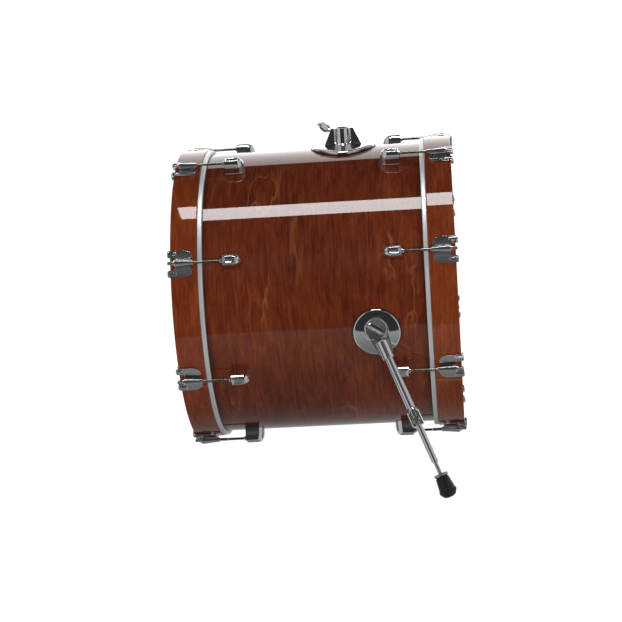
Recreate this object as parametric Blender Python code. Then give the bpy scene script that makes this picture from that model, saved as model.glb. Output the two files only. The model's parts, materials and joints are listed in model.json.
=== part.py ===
"""Bass drum, 22 inches across and 18 inches deep, standing on its rear hoop and two folding spurs.

The drum has its own frame: X runs along its axis to the front head, Z is up and Y points to the
player's left.  That frame is tipped back a little, because the spurs lift the front hoop.
Every size is in metres.
"""

import math

import bmesh
import bpy
from mathutils import Matrix, Vector

INCH = 0.0254
GAP = 0.0003

# Shell and heads
SHELL_RADIUS = 11 * INCH
SHELL_LENGTH = 18 * INCH
SHELL_WALL = 0.0072
BEARING_SETBACK = 0.0022
BEARING_DEPTH = 0.005
FILM = 0.0005
COLLAR_DEPTH = 0.0196
RING_STEPS = 48

# Hoops
HOOP_FACE = 0.267
HOOP_WIDTH = 0.0507
HOOP_INNER = 0.2806
HOOP_OUTER = 0.289
HOOP_EDGE = 0.0015
FLESH_WIDTH = 0.0087
FLESH_INNER = 0.2805
FLESH_OUTER = 0.2872

# Tension hardware
STATIONS = 8
FIRST_STATION = math.radians(22.5)
ROD_LINE = 0.2988
ROD_RADIUS = 0.00275
ROD_BORE = 0.0031
ROD_SIDES = 6
LUG_CENTRE = 0.149
LUG_LENGTH = 0.0384
LUG_WIDTH = 0.024
LUG_HEIGHT = 0.0275
LUG_COLLAR = 0.0033
ROD_DEPTH = 0.025
CLAW_WIDTH = 0.051
CLAW_REACH = 0.042
CLAW_SHOULDER = 0.016
CLAW_LIP = 0.0045
CLAW_PLATE = 0.0035
CLAW_HOOK = 0.008
CLAW_NOTCH = 0.024
CLAW_RIB = 0.0054
TUBE_FLARE = 0.007
TUBE_END = 0.0048

# Spurs
DRUM_TILT = math.radians(3.9)
SPUR_AXIAL = 0.1124
SPUR_BELOW = math.radians(7.5)
PIVOT_RISE = math.radians(20.3)
LEG_FORWARD = math.radians(21.2)
HUB_REACH = 0.0317
PLATE_RADIUS = 0.0445
GASKET = 0.0012
HUB_RADIUS = 0.0225
HUB_BACK = 0.009
HUB_FRONT = 0.004
BOLT_RADIUS = 0.005
BOSS_RADIUS = 0.012
BOSS_START = 0.0238
BOSS_END = 0.059
LEG_TUBE = 0.008
LEG_BORE = 0.00665
LEG_ROD = 0.00635
CLAMP_START = 0.162
CLAMP_END = 0.194
CLAMP_RADIUS = 0.0115
CLAMP_SCREW = 0.184
NECK_RADIUS = 0.004
FOOT_BORE = 0.0043
KNOB_TURN = math.radians(37)

# Tom mount
MOUNT_AXIAL = 0.056
MOUNT_HALF_LENGTH = 0.0635
MOUNT_HALF_WIDTH = 0.067
MOUNT_RIM = 0.0065
POST_RADIUS = 0.017
POST_BORE = 0.0129
POST_TOP = 0.040
WING_RISE = math.radians(29)
WING_TURN = math.radians(25)
WING_HEIGHT = 0.019


def clear_scene():
    for item in list(bpy.data.objects):
        bpy.data.objects.remove(item)


def finish(name, colour, roughness, metallic):
    """A material with one colour, roughness and metallic value."""
    material = bpy.data.materials.new(name)
    material.use_nodes = True
    shader = material.node_tree.nodes["Principled BSDF"]
    shader.inputs["Base Color"].default_value = (*colour, 1)
    shader.inputs["Roughness"].default_value = roughness
    shader.inputs["Metallic"].default_value = metallic
    material.diffuse_color = (*colour, 1)
    return material


def to_mesh(bm, name):
    """Turns a bmesh into a mesh with its faces pointing out."""
    bmesh.ops.remove_doubles(bm, verts=bm.verts, dist=1e-6)
    bmesh.ops.recalc_face_normals(bm, faces=bm.faces)
    mesh = bpy.data.meshes.new(name)
    bm.to_mesh(mesh)
    bm.free()
    return mesh


def turned(profile, steps, closed=False):
    """Spins (radius, height) points about Z.  An open outline gets flat ends."""
    bm = bmesh.new()
    verts = [bm.verts.new((radius, 0, height)) for radius, height in profile]
    edges = [bm.edges.new(pair) for pair in zip(verts, verts[1:])]
    if closed:
        edges.append(bm.edges.new((verts[-1], verts[0])))
    bmesh.ops.spin(bm, geom=verts + edges, cent=(0, 0, 0), axis=(0, 0, 1),
                   angle=math.tau, steps=steps, use_merge=True)
    if not closed:
        rims = [edge for edge in bm.edges if edge.is_boundary]
        bmesh.ops.holes_fill(bm, edges=rims, sides=0)
    return to_mesh(bm, "turned")


def along_x(mesh):
    """Lays a mesh turned about Z along the X axis."""
    mesh.transform(Matrix.Rotation(math.pi / 2, 4, "Y"))
    return mesh


def drum_ring(profile, closed=True):
    """Spins (axial, radius) points about the drum's axis."""
    return along_x(turned([(radius, axial) for axial, radius in profile], RING_STEPS, closed))


def rod(radius, start, end, steps):
    """A round bar along X."""
    return along_x(turned([(radius, start), (radius, end)], steps))


def peg(radius, start, end, steps):
    """A round bar along Z."""
    return turned([(radius, start), (radius, end)], steps)


def block(low, high):
    """A box between two corners."""
    bm = bmesh.new()
    bmesh.ops.create_cube(bm, size=1)
    low = Vector(low)
    high = Vector(high)
    bmesh.ops.scale(bm, vec=high - low, verts=bm.verts)
    bmesh.ops.translate(bm, vec=(high + low) / 2, verts=bm.verts)
    return to_mesh(bm, "block")


def prism(outline, low, high):
    """An outline in the XY plane, extruded from one height to another."""
    bm = bmesh.new()
    base = bm.faces.new([bm.verts.new((x, y, low)) for x, y in outline])
    raised = bmesh.ops.extrude_face_region(bm, geom=[base])["geom"]
    top = [item for item in raised if isinstance(item, bmesh.types.BMVert)]
    bmesh.ops.translate(bm, vec=(0, 0, high - low), verts=top)
    return to_mesh(bm, "prism")


def loft(sections, ends=True):
    """Bridges a row of closed loops with equal numbers of points."""
    bm = bmesh.new()
    loops = [[bm.verts.new(point) for point in section] for section in sections]
    if not ends:
        loops.append(loops[0])
    for near, far in zip(loops, loops[1:]):
        for i, vert in enumerate(near):
            bm.faces.new((near[i - 1], vert, far[i], far[i - 1]))
    if ends:
        bm.faces.new(loops[0])
        bm.faces.new(loops[-1])
    return to_mesh(bm, "loft")


def wrapped(mesh, radius):
    """Bends a flat mesh round a cylinder along X whose top lies at the mesh's own zero height."""
    for vert in mesh.vertices:
        angle = vert.co.y / radius
        reach = radius + vert.co.z
        vert.co.y = reach * math.sin(angle)
        vert.co.z = reach * math.cos(angle) - radius
    return mesh


def dish(half_x, half_y, power, profile, steps):
    """Closed (share of the half widths, height) profile carried round a superellipse."""
    sections = []
    for i in range(steps):
        angle = math.tau * i / steps
        across = math.copysign(abs(math.cos(angle)) ** (2 / power), math.cos(angle))
        along = math.copysign(abs(math.sin(angle)) ** (2 / power), math.sin(angle))
        sections.append([(half_x * across * share, half_y * along * share, height)
                         for share, height in profile])
    return wrapped(loft(sections, ends=False), SHELL_RADIUS)


def combined(base, added=(), removed=()):
    """One mesh from a base, with meshes joined to it and then meshes cut from it."""
    body = bpy.data.objects.new("base", base)
    bpy.context.collection.objects.link(body)
    tools = []
    for operation, meshes in (("UNION", added), ("DIFFERENCE", removed)):
        for mesh in meshes:
            tool = bpy.data.objects.new("tool", mesh)
            bpy.context.collection.objects.link(tool)
            tools.append(tool)
            step = body.modifiers.new(operation.lower(), "BOOLEAN")
            step.operation = operation
            step.solver = "EXACT"
            step.object = tool
    seen = body.evaluated_get(bpy.context.evaluated_depsgraph_get())
    result = bpy.data.meshes.new_from_object(seen)
    for item in [body] + tools:
        bpy.data.objects.remove(item)
    return result


def moved(mesh, matrix):
    mesh.transform(matrix)
    return mesh


def mirrored(mesh):
    """A copy reflected in Y, with its faces still pointing out."""
    copy = mesh.copy()
    copy.transform(Matrix.Scale(-1, 4, (0, 1, 0)))
    copy.flip_normals()
    return copy


def add_empty(name, parent, matrix):
    empty = bpy.data.objects.new(name, None)
    bpy.context.collection.objects.link(empty)
    empty.parent = parent
    empty.matrix_local = matrix
    return empty


def add_part(name, mesh, material, parent, matrix=None):
    """Places a mesh as a named part under its parent and shades its round faces smooth."""
    part = bpy.data.objects.new(name, mesh)
    bpy.context.collection.objects.link(part)
    part.parent = parent
    part.matrix_local = matrix or Matrix()
    if not mesh.materials:
        mesh.materials.append(material)
    mesh.shade_smooth()
    mesh.set_sharp_from_angle(angle=math.radians(32))
    return part


def station(angle, axial, radius, end=1):
    """Frame on the drum: X outward along the axis, Y round it and Z away from it.

    The angle starts at the player's right and rises to the top of the drum.
    """
    turn = Matrix.Rotation(math.pi / 2 - angle, 4, "X")
    spot = Matrix.Translation((end * axial, 0, radius))
    facing = Matrix.Rotation(0 if end > 0 else math.pi, 4, "Z")
    return turn @ spot @ facing


def shell_mesh():
    """Plywood tube with bevelled bearing edges and the tom post's hole."""
    half = SHELL_LENGTH / 2
    outer_edge = (half - BEARING_SETBACK, SHELL_RADIUS)
    peak = (half, SHELL_RADIUS - BEARING_SETBACK)
    inner_edge = (half - BEARING_DEPTH, SHELL_RADIUS - SHELL_WALL)
    front = [outer_edge, peak, inner_edge]
    rear = [(-axial, radius) for axial, radius in reversed(front)]
    hole = peg(POST_RADIUS + 0.0015, 0.2, 0.3, 20)
    moved(hole, Matrix.Translation((MOUNT_AXIAL, 0, 0)))
    return combined(drum_ring(front + rear), removed=[hole])


def head_mesh():
    """Film stretched over the front bearing edge, with the collar that hangs behind it."""
    half = SHELL_LENGTH / 2
    inner = SHELL_RADIUS + GAP
    outer = inner + FILM
    flat = half + GAP
    hem = half - COLLAR_DEPTH
    turn = BEARING_SETBACK
    profile = [
        (flat + FILM, outer - turn),
        (flat + FILM - turn, outer),
        (hem, outer),
        (hem, inner),
        (flat - turn, inner),
        (flat, inner - turn),
    ]
    return drum_ring(profile, closed=False)


def hoop_mesh():
    """Wooden front hoop with eased edges."""
    inside = HOOP_FACE - HOOP_WIDTH
    edge = HOOP_EDGE
    profile = [
        (HOOP_FACE, HOOP_INNER),
        (inside, HOOP_INNER),
        (inside, HOOP_OUTER - edge),
        (inside + edge, HOOP_OUTER),
        (HOOP_FACE - edge, HOOP_OUTER),
        (HOOP_FACE, HOOP_OUTER - edge),
    ]
    return drum_ring(profile)


def flesh_hoop_mesh():
    """Aluminium channel round the head's collar, just inside the front hoop."""
    outside = HOOP_FACE - HOOP_WIDTH - GAP
    inside = outside - FLESH_WIDTH
    edge = 0.001
    profile = [
        (outside, FLESH_INNER),
        (inside, FLESH_INNER),
        (inside, FLESH_OUTER - edge),
        (inside + edge, FLESH_OUTER),
        (outside, FLESH_OUTER),
    ]
    return drum_ring(profile)


def lug_mesh():
    """Rounded casting with a blunt face to the hoop, a nose to the middle and a scooped top."""
    half = LUG_LENGTH / 2
    across = 8
    sections = []
    for share in (0, 0.08, 0.6, 0.95):
        swell = 0.92 + 0.08 * min(1, share / 0.08)
        fade = math.sqrt(1 - share ** 3)
        section = []
        for i in range(across + 1):
            angle = math.pi * i / across
            side = math.copysign(abs(math.cos(angle)) ** 0.6, math.cos(angle))
            rise = math.sin(angle) ** 0.75
            section.append((half - share * LUG_LENGTH,
                            side * swell * fade * LUG_WIDTH / 2,
                            GAP + rise * swell * fade * (LUG_HEIGHT - GAP)))
        sections.append(section)
    line = ROD_LINE - SHELL_RADIUS
    lift = Matrix.Translation((0, 0, line))
    collar = moved(rod(0.0045, half - 0.002, half + LUG_COLLAR, ROD_SIDES), lift)
    bore = moved(rod(ROD_BORE, -half + 0.006, half + 0.01, ROD_SIDES), lift)
    scoop = turned([(0.0026, -0.005), (0.0045, -0.001), (0.0045, 0.01)], 6)
    moved(scoop, Matrix.Scale(2.6, 4, (1, 0, 0)))
    moved(scoop, Matrix.Translation((-0.001, 0, LUG_HEIGHT)))
    return combined(loft(sections), [collar], [bore, scoop])


def claw_mesh():
    """Claw hook over the front hoop: a two-pronged shield with a flared tube for its tension rod.

    X starts at the hoop's outer face and Z at the hoop's outer surface.
    """
    half = CLAW_WIDTH / 2
    straight = 0.007
    sections = []
    for share in (-1, -0.85, -0.4, 0.4, 0.85, 1):
        y = share * half
        past = max(0, abs(y) - straight) / (half - straight)
        inner = CLAW_SHOULDER * (1 - math.sqrt(1 - past ** 2)) - CLAW_REACH
        crown = CLAW_PLATE - 0.0012 * past ** 2
        sections.append([(inner, y, GAP), (inner, y, crown), (CLAW_LIP, y, crown), (CLAW_LIP, y, GAP)])
    plate = wrapped(loft(sections), HOOP_OUTER)
    notch = block((-CLAW_LIP, -CLAW_NOTCH / 2, -0.02), (0.02, CLAW_NOTCH / 2, 0.02))
    plate = combined(plate, removed=[notch])
    hooks = []
    for side in (-1, 1):
        middle = side * (half + CLAW_NOTCH / 2) / 2
        reach = (half - CLAW_NOTCH / 2) / 2 - 0.0004
        hook = block((GAP, middle - reach, -CLAW_HOOK), (CLAW_LIP - 0.0002, middle + reach, 0.0015))
        rib = prism([(-CLAW_HOOK - 0.006, 0.002), (-CLAW_HOOK, CLAW_RIB), (CLAW_LIP - 0.001, CLAW_RIB),
                     (CLAW_LIP + 0.001, 0.002)], -middle - CLAW_LIP, -middle + CLAW_LIP)
        moved(rib, Matrix.Rotation(math.pi / 2, 4, "X"))
        hooks += [wrapped(hook, HOOP_OUTER), wrapped(rib, HOOP_OUTER)]
    line = ROD_LINE - HOOP_OUTER
    lift = Matrix.Translation((0, 0, line))
    tube = along_x(turned([(TUBE_END, -CLAW_REACH - 0.003), (TUBE_FLARE, -CLAW_LIP - 0.0005)], 8))
    moved(tube, lift)
    saddle = block((-CLAW_REACH + 0.001, -0.0046, 0.0015), (-CLAW_LIP - 0.001, 0.0046, line))
    bar_end = LUG_CENTRE + LUG_LENGTH / 2 - ROD_DEPTH - HOOP_FACE
    bar = moved(rod(ROD_RADIUS, bar_end, 0, ROD_SIDES), lift)
    key = 0.0032
    head = block((-0.001, -key, line - key), (CLAW_LIP + 0.001, key, line + key))
    return combined(plate, hooks + [tube, saddle, bar, head])


def add_tension(name, end, mats, drum):
    """One head's hoop, flesh hoop and claws, which slide together along the drum."""
    group = add_empty(name + "_tension", drum, Matrix.Rotation(0 if end > 0 else math.pi, 4, "Z"))
    add_part(name + "_hoop", hoop_mesh(), mats["hoop"], group)
    add_part(name + "_flesh_hoop", flesh_hoop_mesh(), mats["aluminium"], group)
    claw = claw_mesh()
    facing = group.matrix_local.inverted()
    for i in range(STATIONS):
        angle = FIRST_STATION + math.tau * i / STATIONS
        place = facing @ station(angle, HOOP_FACE, HOOP_OUTER, end)
        add_part(f"{name}_claw_{i + 1}", claw, mats["chrome"], group, place)


def gasket_mesh(half_x, half_y, power, hole, steps):
    """Thin sheet between a bracket and the shell."""
    top = GAP + GASKET
    middle = (1 + hole) / 2
    profile = [(1, GAP), (1, top), (middle, top), (hole, top), (hole, GAP), (middle, GAP)]
    return dish(half_x, half_y, power, profile, steps)


def drum_core(axial, clearance):
    """Solid drum outline that trims a bracket's underside, seen from the bracket's frame."""
    core = rod(SHELL_RADIUS + clearance, -0.15, 0.15, 96)
    return moved(core, Matrix.Translation((axial, 0, -SHELL_RADIUS)))


def tipped(side):
    """From the spur plate's frame to the leg's pivot, with Z along the pivot's axis."""
    lean = Matrix.Rotation(-side * (PIVOT_RISE + SPUR_BELOW), 4, "X")
    return lean @ Matrix.Translation((0, 0, HUB_REACH))


def bracket_mesh():
    """Domed round plate with the wedge-shaped boss that carries the leg's pivot."""
    profile = [
        (1, 0.001),
        (1, 0.0042),
        (0.96, 0.0056),
        (0.8, 0.0068),
        (0.45, 0.0092),
        (0.45, 0.001),
    ]
    plate = dish(PLATE_RADIUS, PLATE_RADIUS, 2, profile, 24)
    top = -HUB_BACK - GAP
    boss = moved(turned([(0.024, -0.036), (0.0205, top - 0.001), (0.0195, top)], 20), tipped(1))
    bore = moved(peg(BOLT_RADIUS + GAP, top - 0.014, 0.01, 10), tipped(1))
    return combined(plate, [boss], [drum_core(0, GAP + GASKET + GAP), bore])


def socket_mesh():
    """Pivot hub with the leg's socket; X runs down the leg and Z along the pivot."""
    hub = turned([(HUB_RADIUS - 0.001, -HUB_BACK), (HUB_RADIUS, -HUB_BACK + 0.001),
                  (HUB_RADIUS, HUB_FRONT - 0.001), (HUB_RADIUS - 0.001, HUB_FRONT)], 20)
    web = prism([(0, -0.0205), (0.049, -0.0135), (0.049, 0.0135), (0, 0.0205)], -0.0082, 0.0015)
    boss = along_x(turned([(BOSS_RADIUS, BOSS_START), (BOSS_RADIUS, BOSS_END - 0.001),
                           (BOSS_RADIUS - 0.001, BOSS_END)], 14))
    bore = rod(LEG_TUBE + GAP, BOSS_START + 0.0018, BOSS_END + 0.01, 12)
    bolt = peg(BOLT_RADIUS + GAP, -0.02, 0.02, 10)
    return combined(hub, [web, boss], [bore, bolt])


def knob_mesh():
    """Round cap with a raised bar across it and the pivot bolt below."""
    low = HUB_FRONT + GAP
    cap = turned([(0.0215, low), (0.022, low + 0.001), (0.022, low + 0.0035), (0.0205, low + 0.0052)], 20)
    top = low + 0.0052
    crest = 0.0135
    bar = loft([
        [(-0.0215, -0.0055, top - 0.001), (0.0215, -0.0055, top - 0.001),
         (0.0215, 0.0055, top - 0.001), (-0.0215, 0.0055, top - 0.001)],
        [(-0.019, -0.0012, crest), (0.019, -0.0012, crest), (0.019, 0.0012, crest), (-0.019, 0.0012, crest)],
    ])
    bolt = peg(BOLT_RADIUS, -HUB_BACK - 0.012, low + 0.001, 10)
    mesh = combined(cap, [bar, bolt])
    return moved(mesh, Matrix.Rotation(KNOB_TURN, 4, "Z"))


def tube_mesh():
    """Upper leg tube, swelling into the clamp that grips the rod."""
    top = BOSS_START + 0.0021
    profile = [
        (LEG_BORE, top),
        (LEG_TUBE, top),
        (LEG_TUBE, CLAMP_START - 0.002),
        (CLAMP_RADIUS, CLAMP_START + 0.002),
        (CLAMP_RADIUS, CLAMP_END - 0.001),
        (CLAMP_RADIUS - 0.001, CLAMP_END),
        (LEG_BORE, CLAMP_END),
    ]
    tube = along_x(turned(profile, 12, closed=True))
    boss = moved(peg(0.0065, 0.0092, 0.013, 10), Matrix.Translation((CLAMP_SCREW, 0, 0)))
    hole = moved(peg(0.003, 0.0074, 0.02, 8), Matrix.Translation((CLAMP_SCREW, 0, 0)))
    return combined(tube, [boss], [hole])


def clamp_screw_mesh():
    """Key screw that closes the clamp on the rod."""
    profile = [(0.0027, 0.0077), (0.0027, 0.0133), (0.0047, 0.0133), (0.0047, 0.0158), (0.004, 0.0166)]
    drive = moved(block((-0.0016, -0.0016, 0.0145), (0.0016, 0.0016, 0.03)), Matrix.Rotation(0.3, 4, "Z"))
    return combined(turned(profile, 8), removed=[drive])


# Rubber foot: (radius, distance back from its tip), from the tip up
FOOT_PROFILE = (
    (0.006, 0),
    (0.012, 0.0028),
    (0.0168, 0.0105),
    (0.017, 0.0135),
    (0.0155, 0.0148),
    (0.0125, 0.0375),
    (0.0112, 0.039),
)


def leg_reach():
    """Distance down the leg from the pivot to the foot's tip, when the foot stands on the floor."""
    pivot = station(-SPUR_BELOW, SPUR_AXIAL, SHELL_RADIUS) @ tipped(1)
    tilt = Matrix.Rotation(-DRUM_TILT, 4, "Y")
    spot = tilt @ pivot.translation
    height = spot.z + drum_height()
    leg = (tilt @ leg_frame(1)).to_3x3() @ Vector((1, 0, 0))
    drop = -leg.z
    splay = math.sqrt(1 - drop ** 2)
    lowest = max(splay * radius - drop * back for radius, back in FOOT_PROFILE)
    return (height - lowest) / drop


def drum_height():
    """Height of the drum's centre over the floor, with the rear hoop's lower edge on it."""
    edge = HOOP_FACE - HOOP_EDGE
    return edge * math.sin(DRUM_TILT) + HOOP_OUTER * math.cos(DRUM_TILT)


def leg_frame(side):
    """Frame at the leg's pivot: Z along the pivot away from the drum, X down the leg."""
    angle = -SPUR_BELOW if side > 0 else math.pi + SPUR_BELOW
    swing = Matrix.Rotation(-side * (math.pi / 2 - LEG_FORWARD), 4, "Z")
    return station(angle, SPUR_AXIAL, SHELL_RADIUS) @ tipped(side) @ swing


def rod_mesh(reach):
    """Lower leg rod with its threaded neck and the spike inside the foot."""
    neck = reach - 0.0715
    profile = [
        (LEG_ROD - 0.0008, 0.140),
        (LEG_ROD, 0.141),
        (LEG_ROD, neck),
        (NECK_RADIUS, neck + 0.005),
        (NECK_RADIUS, reach - 0.018),
        (0.0008, reach - 0.006),
    ]
    return along_x(turned(profile, 12))


def lock_nut_mesh(reach):
    """Round nut that locks the foot on the neck."""
    low = reach - 0.0455
    profile = [
        (FOOT_BORE, low),
        (0.0122, low),
        (0.013, low + 0.001),
        (0.013, low + 0.0045),
        (0.0122, low + 0.0055),
        (FOOT_BORE, low + 0.0055),
    ]
    return along_x(turned(profile, 14, closed=True))


def foot_mesh(reach):
    """Rubber foot, with a hole along it for the spike."""
    top = FOOT_PROFILE[-1][1]
    profile = [(FOOT_BORE, reach - top), (FOOT_BORE, reach)]
    profile += [(radius, reach - back) for radius, back in FOOT_PROFILE]
    return along_x(turned(profile, 14, closed=True))


def add_spur(name, side, mats, drum):
    """One folding spur; side is 1 at the player's right and -1 at the left."""
    angle = -SPUR_BELOW if side > 0 else math.pi + SPUR_BELOW
    plate = station(angle, SPUR_AXIAL, SHELL_RADIUS)
    reach = leg_reach()
    gasket = gasket_mesh(PLATE_RADIUS + 0.0012, PLATE_RADIUS + 0.0012, 2, 0.6, 24)
    add_part(name + "_spur_gasket", gasket, mats["rubber"], drum, plate)
    add_part(name + "_spur_bracket", handed(bracket_mesh(), side), mats["chrome"], drum, plate)
    leg = add_empty(name + "_leg", drum, leg_frame(side))
    add_part(name + "_spur_socket", handed(socket_mesh(), side), mats["chrome"], leg)
    add_part(name + "_spur_knob", handed(knob_mesh(), side), mats["chrome"], leg)
    add_part(name + "_spur_tube", handed(tube_mesh(), side), mats["chrome"], leg)
    screw = Matrix.Translation((CLAMP_SCREW, 0, 0))
    add_part(name + "_spur_clamp_screw", handed(clamp_screw_mesh(), side), mats["chrome"], leg, screw)
    add_part(name + "_spur_rod", rod_mesh(reach), mats["chrome"], leg)
    add_part(name + "_spur_lock_nut", lock_nut_mesh(reach), mats["zinc"], leg)
    add_part(name + "_spur_foot", foot_mesh(reach), mats["rubber"], leg)


def handed(mesh, side):
    return mesh if side > 0 else mirrored(mesh)


def wing_axis():
    """Frame of the tom mount's wing bolt, with X out along the bolt."""
    spot = Matrix.Translation((0, 0, WING_HEIGHT))
    turn = Matrix.Rotation(math.pi - WING_TURN, 4, "Z")
    return spot @ turn @ Matrix.Rotation(-WING_RISE, 4, "Y")


def tom_base_mesh():
    """Curved base plate with a raised rim, a webbed post and the boss of the wing bolt."""
    profile = [
        (1, 0.001),
        (1, 0.0052),
        (0.96, 0.0015 + MOUNT_RIM),
        (0.86, 0.0015 + MOUNT_RIM),
        (0.8, 0.0052),
        (0.24, 0.006),
        (0.24, 0.001),
    ]
    plate = dish(MOUNT_HALF_LENGTH, MOUNT_HALF_WIDTH, 1.75, profile, 28)
    post = peg(POST_RADIUS, 0, POST_TOP, 20)
    web = prism([(-0.038, 0.002), (0.038, 0.002), (0.0215, 0.039), (-0.0215, 0.039)], -0.003, 0.003)
    moved(web, Matrix.Rotation(math.pi / 2, 4, "X"))
    boss = moved(rod(0.0065, 0.010, 0.024, 10), wing_axis())
    bore = peg(POST_BORE, -0.03, 0.06, 18)
    bolt_hole = moved(rod(0.0033, 0.009, 0.03, 8), wing_axis())
    core = drum_core(0, GAP + GASKET + GAP)
    return combined(plate, [post, web, boss], [core, bore, bolt_hole])


def wing_bolt_mesh():
    """Bolt with a flat oval wing and a ball at its end, along X."""
    shank = rod(0.003, 0.0165, 0.036, 8)
    wing = turned([(0.003, -0.0125), (0.0075, -0.0075), (0.009, 0), (0.0075, 0.0075), (0.003, 0.0125)], 12)
    along_x(wing)
    moved(wing, Matrix.Scale(0.3, 4, (0, 1, 0)))
    moved(wing, Matrix.Translation((0.0445, 0, 0)))
    ball = along_x(turned([(0.0012, -0.0032), (0.0034, -0.001), (0.0034, 0.0014), (0.0014, 0.0034)], 8))
    moved(ball, Matrix.Translation((0.0585, 0, 0)))
    return combined(shank, [wing, ball])


def add_tom_mount(mats, drum):
    """Bracket on top of the shell that takes the tom holder's tube."""
    place = station(math.pi / 2, MOUNT_AXIAL, SHELL_RADIUS)
    gasket = gasket_mesh(MOUNT_HALF_LENGTH + 0.0012, MOUNT_HALF_WIDTH + 0.0012, 1.75, 0.42, 32)
    add_part("tom_mount_gasket", gasket, mats["rubber"], drum, place)
    add_part("tom_mount_base", tom_base_mesh(), mats["chrome"], drum, place)
    add_part("tom_mount_wing_bolt", wing_bolt_mesh(), mats["chrome"], drum, place @ wing_axis())


def build():
    clear_scene()
    mats = {
        "shell": finish("shell_lacquer", (0.085, 0.022, 0.012), 0.12, 0),
        "hoop": finish("hoop_lacquer", (0.14, 0.034, 0.014), 0.12, 0),
        "film": finish("coated_film", (0.82, 0.82, 0.8), 0.55, 0),
        "aluminium": finish("flesh_hoop_aluminium", (0.75, 0.76, 0.77), 0.3, 1),
        "chrome": finish("chrome", (0.62, 0.63, 0.65), 0.06, 1),
        "zinc": finish("lock_nut_zinc", (0.5, 0.5, 0.5), 0.4, 1),
        "rubber": finish("rubber", (0.015, 0.015, 0.016), 0.6, 0),
    }
    upright = Matrix.Rotation(-math.pi / 2, 4, "Z") @ Matrix.Rotation(-DRUM_TILT, 4, "Y")
    drum = add_empty("drum", None, Matrix.Translation((0, 0, drum_height())) @ upright)
    add_part("shell", shell_mesh(), mats["shell"], drum)
    lug = lug_mesh()
    head = head_mesh()
    for name, end in (("resonant", 1), ("batter", -1)):
        facing = Matrix.Rotation(0 if end > 0 else math.pi, 4, "Z")
        add_part(name + "_head", head, mats["film"], drum, facing)
        for i in range(STATIONS):
            angle = FIRST_STATION + math.tau * i / STATIONS
            place = station(angle, LUG_CENTRE, SHELL_RADIUS, end)
            add_part(f"{name}_lug_{i + 1}", lug, mats["chrome"], drum, place)
        add_tension(name, end, mats, drum)
    add_tom_mount(mats, drum)
    add_spur("right", 1, mats, drum)
    add_spur("left", -1, mats, drum)


build()
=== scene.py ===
import json
import math

import bmesh
import bpy
from mathutils import Matrix, Vector


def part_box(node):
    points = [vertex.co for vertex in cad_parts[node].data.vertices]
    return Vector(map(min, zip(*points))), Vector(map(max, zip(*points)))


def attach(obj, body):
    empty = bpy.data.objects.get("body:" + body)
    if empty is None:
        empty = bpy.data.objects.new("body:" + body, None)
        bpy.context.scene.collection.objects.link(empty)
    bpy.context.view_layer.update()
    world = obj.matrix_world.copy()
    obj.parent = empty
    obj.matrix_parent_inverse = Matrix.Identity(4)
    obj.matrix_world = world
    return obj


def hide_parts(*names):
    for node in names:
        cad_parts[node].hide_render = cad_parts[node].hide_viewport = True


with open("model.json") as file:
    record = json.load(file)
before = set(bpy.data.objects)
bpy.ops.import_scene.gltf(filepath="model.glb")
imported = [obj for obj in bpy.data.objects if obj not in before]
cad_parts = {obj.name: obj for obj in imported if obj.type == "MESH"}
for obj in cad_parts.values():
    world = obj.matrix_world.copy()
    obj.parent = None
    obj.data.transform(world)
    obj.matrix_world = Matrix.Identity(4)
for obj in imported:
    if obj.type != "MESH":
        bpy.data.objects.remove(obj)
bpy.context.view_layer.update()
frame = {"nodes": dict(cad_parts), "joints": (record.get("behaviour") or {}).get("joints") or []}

jointByName = {joint["name"]: joint for joint in frame["joints"]}
inch = 0.0254
skin = 0.0003  # air left between pieces that touch


# The drum's own frame: X to the front head, Y to the player's left, Z up
frontWay = Vector(jointByName["resonant_tension_slide"]["axis"])
leftWay = Vector((1, 0, 0))
upWay = frontWay.cross(leftWay)
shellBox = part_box("shell")
drumCentre = (Vector(shellBox[0]) + Vector(shellBox[1])) / 2
drumTurn = Matrix((frontWay, leftWay, upWay)).transposed()
drumFrame = Matrix.Translation(drumCentre) @ drumTurn.to_4x4()


def station(angle, axial, radius, end=1):
    # X outward along the drum, Y round it, Z away from it
    turn = Matrix.Rotation(math.pi / 2 - angle, 4, "X")
    spot = Matrix.Translation((end * axial, 0, radius))
    facing = Matrix.Rotation(0 if end > 0 else math.pi, 4, "Z")
    return drumFrame @ turn @ spot @ facing


# Shapes: each helper returns a bmesh


def turned(outline, steps, closed=False):
    # outline is (radius, height) points, spun about Z; an open one gets flat ends
    bm = bmesh.new()
    verts = [bm.verts.new((radius, 0, height)) for radius, height in outline]
    edges = [bm.edges.new(pair) for pair in zip(verts, verts[1:])]
    if closed:
        edges.append(bm.edges.new((verts[-1], verts[0])))
    bmesh.ops.spin(bm, geom=verts + edges, cent=(0, 0, 0), axis=(0, 0, 1),
                   angle=math.tau, steps=steps, use_merge=True)
    bmesh.ops.remove_doubles(bm, verts=bm.verts, dist=1e-6)
    if not closed:
        bmesh.ops.holes_fill(bm, edges=[edge for edge in bm.edges if edge.is_boundary], sides=0)
    bmesh.ops.recalc_face_normals(bm, faces=bm.faces)
    return bm


def moved(bm, matrix):
    bmesh.ops.transform(bm, matrix=matrix, verts=bm.verts)
    return bm


def shifted(bm, x, y, z):
    return moved(bm, Matrix.Translation((x, y, z)))


def lengthwise(bm):
    # from a shape turned about Z to one along X
    return moved(bm, Matrix.Rotation(math.pi / 2, 4, "Y"))


def bar(radius, start, end, steps=24):
    return lengthwise(turned([(radius, start), (radius, end)], steps))


def post(radius, start, end, steps=24):
    return turned([(radius, start), (radius, end)], steps)


def block(low, high):
    bm = bmesh.new()
    bmesh.ops.create_cube(bm, size=1)
    low = Vector(low)
    high = Vector(high)
    bmesh.ops.scale(bm, vec=high - low, verts=bm.verts)
    bmesh.ops.translate(bm, vec=(high + low) / 2, verts=bm.verts)
    return bm


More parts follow.
